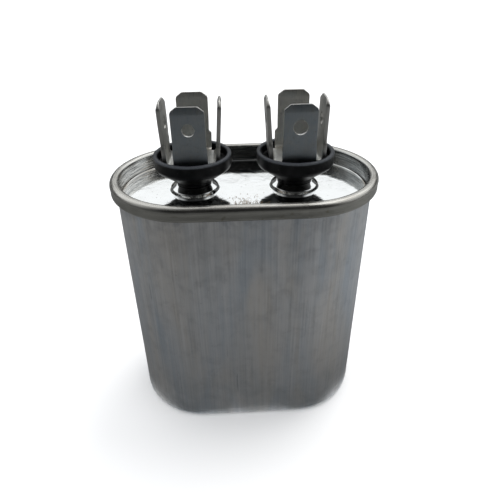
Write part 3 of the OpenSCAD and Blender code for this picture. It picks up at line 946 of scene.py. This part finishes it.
# ---------------------------------------------------------------- dry grime on the cover
def make_crumbs():
    bm, uvl, zone = new_bm()
    rnd = random.Random(23)

    def flake(x, y, size, flat):
        pts = []
        for _ in range(9):
            a, b = rnd.uniform(0, 2 * math.pi), rnd.uniform(-1, 1)
            c = math.sqrt(1 - b * b)
            s = size * rnd.uniform(0.55, 1.0)
            pts.append(bm.verts.new(((x + s * c * math.cos(a)) * MM, (y + s * c * math.sin(a)) * MM,
                                     (FLOOR_Z + 0.01 + size * flat * (1 + b * rnd.uniform(0.6, 1.0))) * MM)))
        res = bmesh.ops.convex_hull(bm, input=pts, use_existing_faces=False)
        dead = {g for key in ("geom_interior", "geom_unused") for g in res[key] if isinstance(g, bmesh.types.BMVert)}
        if dead:
            bmesh.ops.delete(bm, geom=list(dead), context="VERTS")

    def fibre(x, y, length, turn):
        r, n, a = 0.016, 10, rnd.uniform(0, math.pi)
        path, z = [], FLOOR_Z + 0.03
        for i in range(n + 1):
            path.append(Vector((x, y, z + 0.05 * math.sin(math.pi * i / n) * rnd.uniform(0.6, 1.2))))
            a += turn * rnd.uniform(0.4, 1.4) / n
            x += length / n * math.cos(a); y += length / n * math.sin(a)
        prev = None
        for i, q in enumerate(path):
            d = (path[min(i + 1, n)] - path[max(i - 1, 0)]).normalized()
            s = Vector((-d.y, d.x, 0)).normalized()
            t = d.cross(s)
            rr = r * (0.35 if i in (0, n) else 1.0)
            ring = [bm.verts.new((q + s * rr * math.cos(2 * math.pi * j / 5) + t * rr * math.sin(2 * math.pi * j / 5)) * MM) for j in range(5)]
            if prev:
                for j in range(5):
                    bm.faces.new((prev[j], prev[(j + 1) % 5], ring[(j + 1) % 5], ring[j]))
            elif ring:
                bm.faces.new(ring[::-1])
            prev = ring
        bm.faces.new(prev)
    cx, cy = CRUMB
    for _ in range(330):
        x, y = rnd.gauss(cx, 1.55), rnd.gauss(cy, 1.25)
        if rnd.random() < 0.16:
            y += abs(rnd.gauss(0, 2.2))
        if math.hypot(max(0.0, abs(x) - S), y) < chuck_c - 0.75 and all(math.hypot(x - c, y) > 6.0 for c in (-TX, TX)):
            flake(x, y, rnd.choice((0.05, 0.07, 0.09, 0.12, 0.16)) * rnd.uniform(0.8, 1.2), rnd.uniform(0.3, 0.6))
    for _ in range(12):
        x, y = rnd.gauss(cx + 0.3, 1.2), rnd.gauss(cy + 0.4, 1.3)
        if math.hypot(max(0.0, abs(x) - S), y) < chuck_c - 1.3:
            fibre(x, y, rnd.uniform(0.5, 1.5), rnd.uniform(-2.5, 2.5))
    for _ in range(46):                       # a few along the foot of the wall and over the floor
        a = rnd.uniform(0, 2 * math.pi)
        rr = rnd.choice((rnd.uniform(13.4, 14.0), rnd.uniform(8.0, 13.9)))
        x, y = (S if math.cos(a) > 0 else -S) + rr * math.cos(a), rr * math.sin(a)
        flake(x, y, rnd.uniform(0.05, 0.11), rnd.uniform(0.3, 0.6))
    return finish_mesh(bm, "grime_crumbs", 25, (), GRIME)


CRUMB = (-0.1, -8.3)
can = make_can()
cover = make_cover()
cups = [make_cup("left", -TX), make_cup("right", TX)]
terminals = [make_terminal("left", -TX, (4, 1, 1, 1), (2.4, 2.4, 2.4, 2.4)),
             make_terminal("right", TX, (1, 1, 4, 1), (2.4, 2.4, 2.4, 2.8))]
rivets = [make_rivet("left", -TX), make_rivet("right", TX)]
crumbs = make_crumbs()

# ---------------------------------------------------------------- parts inside the case
INNER = {
    "seam_compound": plain_material("seam_compound", (0.10, 0.105, 0.10), (0.17, 0.17, 0.16), 1.2, rough=(0.6, 0.8)),
    "left_gasket": plain_material("gasket_rubber", (0.018, 0.018, 0.018), (0.035, 0.035, 0.034), 1.5, rough=(0.6, 0.8)),
    "left_insulating_washer": plain_material("washer_laminate", (0.22, 0.115, 0.05), (0.32, 0.18, 0.085), 0.9, rough=(0.4, 0.55), kind="fibre"),
    "left_solder_lug": plain_material("tinned_brass", (0.70, 0.68, 0.62), (0.60, 0.56, 0.48), 0.9, metallic=1.0, rough=(0.25, 0.4)),
    "disconnect_plate": plain_material("plate_moulding", (0.78, 0.74, 0.63), (0.70, 0.66, 0.55), 0.3, rough=(0.45, 0.6)),
    "film_winding": plain_material("film_roll", (0.60, 0.60, 0.62), (0.42, 0.42, 0.44), 0.5, metallic=0.6, rough=(0.3, 0.45), kind="layers"),
    "top_end_metal": plain_material("sprayed_zinc", (0.42, 0.43, 0.44), (0.32, 0.33, 0.34), 1.0, metallic=1.0, rough=(0.6, 0.8), kind="spray", depth=0.0001),
    "winding_wrap": plain_material("wrap_film", (0.66, 0.60, 0.42), (0.56, 0.50, 0.34), 0.3, rough=(0.2, 0.35)),
    "bottom_insulator": plain_material("pressboard", (0.47, 0.35, 0.20), (0.38, 0.27, 0.15), 0.6, rough=(0.8, 0.95), kind="fibre"),
    "left_lead": plain_material("tinned_copper", (0.72, 0.70, 0.65), (0.62, 0.56, 0.48), 0.8, metallic=1.0, rough=(0.25, 0.4)),
    "lead_sleeve": plain_material("woven_sleeve", (0.80, 0.80, 0.76), (0.68, 0.68, 0.63), 0.8, rough=(0.7, 0.85), kind="weave"),
}
for a, b in (("right_gasket", "left_gasket"), ("right_insulating_washer", "left_insulating_washer"),
             ("right_solder_lug", "left_solder_lug"), ("bottom_end_metal", "top_end_metal"), ("right_lead", "left_lead")):
    INNER[a] = INNER[b]
for name, mat in INNER.items():
    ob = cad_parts[name]
    ob.data.materials.clear()
    ob.data.materials.append(mat)

# ---------------------------------------------------------------- stage
def floor_material():
    m = Mat("pale_floor", metallic=0.0, roughness=0.9, **{"Specular IOR Level": 0.0})
    p = m.coords()
    a = m.noise(p, 0.02, 3, 0.5)
    m.set(Base_Color=m.mix(m.span(a, 0.3, 0.7), (0.885, 0.885, 0.885), (0.875, 0.875, 0.875)))
    return m.m


def stage_plane(name, pts, mat, only_gloss=False):
    me = bpy.data.meshes.new(name)
    me.from_pydata([Vector(p) * MM for p in pts], [], [tuple(range(len(pts)))])
    ob = bpy.data.objects.new(name, me)
    me.materials.append(mat)
    scene.collection.objects.link(ob)
    if only_gloss:
        ob.visible_camera = False
        ob.visible_diffuse = False
        ob.visible_shadow = False
        ob.visible_transmission = False
    return ob


F = 9000.0
stage_plane("floor", [(-F, -F, -0.02), (F, -F, -0.02), (F, F, -0.02), (-F, F, -0.02)], floor_material())


def toned(name, verts, faces, tones):
    """A stage surface seen only in reflections, each corner glowing by its own tone."""
    me = bpy.data.meshes.new(name)
    me.from_pydata([Vector(v) * MM for v in verts], [], faces)
    at = me.attributes.new("tone", "FLOAT", "POINT")
    for i, t in enumerate(tones):
        at.data[i].value = t
    m = bpy.data.materials.new(name)
    m.use_nodes = True
    nt = m.node_tree
    nt.nodes.clear()
    o = nt.nodes.new("ShaderNodeOutputMaterial")
    e = nt.nodes.new("ShaderNodeEmission")
    f = nt.nodes.new("ShaderNodeAttribute")
    f.attribute_name = "tone"
    e.inputs["Color"].default_value = (0.975, 0.995, 1.0, 1)
    nt.links.new(f.outputs["Fac"], e.inputs["Strength"])
    nt.links.new(e.outputs[0], o.inputs[0])
    me.materials.append(m)
    ob = bpy.data.objects.new(name, me)
    scene.collection.objects.link(ob)
    for k in ("visible_camera", "visible_diffuse", "visible_shadow", "visible_transmission"):
        setattr(ob, k, False)
    return ob


def smooth(x, a, b):
    t = min(1.0, max(0.0, (x - a) / (b - a)))
    return t * t * (3 - 2 * t)


def sky_tone(x, y, el):
    """x, y point away from the object, el in degrees: pale behind from 22 degrees up, dim in front."""
    back, side = smooth(y, 0.10, 0.42), smooth(y, -0.75, -0.15)
    behind = 0.10 + 0.95 * smooth(el, 20.5, 24.0) - 0.55 * smooth(el, 52, 80)
    flank = (0.70 if x > 0 else 0.36) * smooth(el, 4, 16) + 0.05
    front = 0.018 + 0.05 * smooth(el, 45, 85)
    top = smooth(el, 60, 88)
    tone = front + (flank - front) * side
    tone += (behind - tone) * back
    return tone + (0.16 - tone) * top


def reflection_dome():
    verts, faces, tones = [], [], []
    n, rad = 96, 2600.0
    els = [-3, 3, 8, 12, 16, 19, 20.5, 21.4, 22.3, 23.2, 24, 26, 30, 35, 40, 46, 52, 58, 64, 70, 76, 82, 87]
    for el in els:
        for i in range(n):
            a, e = 2 * math.pi * i / n, math.radians(el)
            verts.append((rad * math.cos(e) * math.cos(a), rad * math.cos(e) * math.sin(a), rad * math.sin(e) + 50))
            tones.append(sky_tone(math.cos(a), math.sin(a), el))
    for j in range(len(els) - 1):
        for i in range(n):
            i2 = (i + 1) % n
            faces.append((j * n + i, j * n + i2, (j + 1) * n + i2, (j + 1) * n + i))
    verts.append((0, 0, rad + 50)); tones.append(0.16)
    k, top = (len(els) - 1) * n, len(verts) - 1
    for i in range(n):
        faces.append((k + i, k + (i + 1) % n, top))
    toned("reflection_dome", verts, faces, tones)


def table_tone(x, y):
    """Table round the object as its walls mirror it: dim in front and far out, paler to the right."""
    d = math.hypot(max(0.0, abs(x) - S), y)
    a = math.atan2(y, x)
    front = max(0.0, -math.sin(a))
    tone = 0.19 + 0.09 * smooth(d, 24, 70) - 0.13 * front * smooth(d, 100, 135) - 0.04 * smooth(d, 130, 260)
    c = math.cos(a)
    return max(0.06, tone + (0.17 if c > 0 else -0.02) * c * smooth(d, 17, 60))


def low_cards():
    """The table as seen only in reflections."""
    verts, faces, tones = [], [], []
    rad = [17.2, 22.0, 28.0, 36.0, 46.0, 58.0, 72.0, 88.0, 100.0, 112.0, 126.0, 150.0, 190.0, 260.0, 420.0, 2590.0]
    n = 96
    for r in rad:
        for i in range(n):
            a = 2 * math.pi * i / n
            x, y = max(-S, min(S, r * math.cos(a))) + r * math.cos(a), r * math.sin(a)
            verts.append((x, y, 0.3))
            tones.append(table_tone(x, y))
    for j in range(len(rad) - 1):
        for i in range(n):
            i2 = (i + 1) % n
            faces.append((j * n + i, j * n + i2, (j + 1) * n + i2, (j + 1) * n + i))
    toned("low_cards", verts, faces, tones)


low_cards()
reflection_dome()

world = bpy.data.worlds.new("studio")
scene.world = world
world.use_nodes = True
bg = world.node_tree.nodes["Background"]
bg.inputs["Color"].default_value = (0.955, 0.965, 0.98, 1)
bg.inputs["Strength"].default_value = 1.30


def sun(name, direction, energy, angle, colour=(1, 1, 1)):
    d = bpy.data.lights.new(name, "SUN")
    d.energy, d.angle, d.color = energy, math.radians(angle), colour
    o = bpy.data.objects.new(name, d)
    o.rotation_mode = "QUATERNION"
    o.rotation_quaternion = Vector(direction).to_track_quat("Z", "Y")
    scene.collection.objects.link(o)
    return o


sun("key", (0.42, 0.34, 1.0), 0.9, 32, (1.0, 0.99, 0.97))

# ---------------------------------------------------------------- camera
cam_data = bpy.data.cameras.new("camera")
cam = bpy.data.objects.new("camera", cam_data)
scene.collection.objects.link(cam)
scene.camera = cam
yaw, pitch, roll = math.radians(2.273), math.radians(32.402), math.radians(-0.913)
fwd = Vector((math.sin(yaw) * math.cos(pitch), math.cos(yaw) * math.cos(pitch), -math.sin(pitch)))
right = Vector((math.cos(yaw), -math.sin(yaw), 0))
up = right.cross(fwd)
r2 = math.cos(roll) * right + math.sin(roll) * up
u2 = -math.sin(roll) * right + math.cos(roll) * up
mw = Matrix((r2, u2, -fwd)).transposed().to_4x4()
mw.translation = Vector((-3.214, -89.582, 95.165)) * MM
cam.matrix_world = mw
cam_data.sensor_width = 36
cam_data.lens = 466.15 / 500 * 36
cam_data.shift_x, cam_data.shift_y = 0.0055, -0.0046
cam_data.clip_start, cam_data.clip_end = 0.002, 50

scene.view_settings.view_transform = "Standard"
scene.view_settings.look = "None"
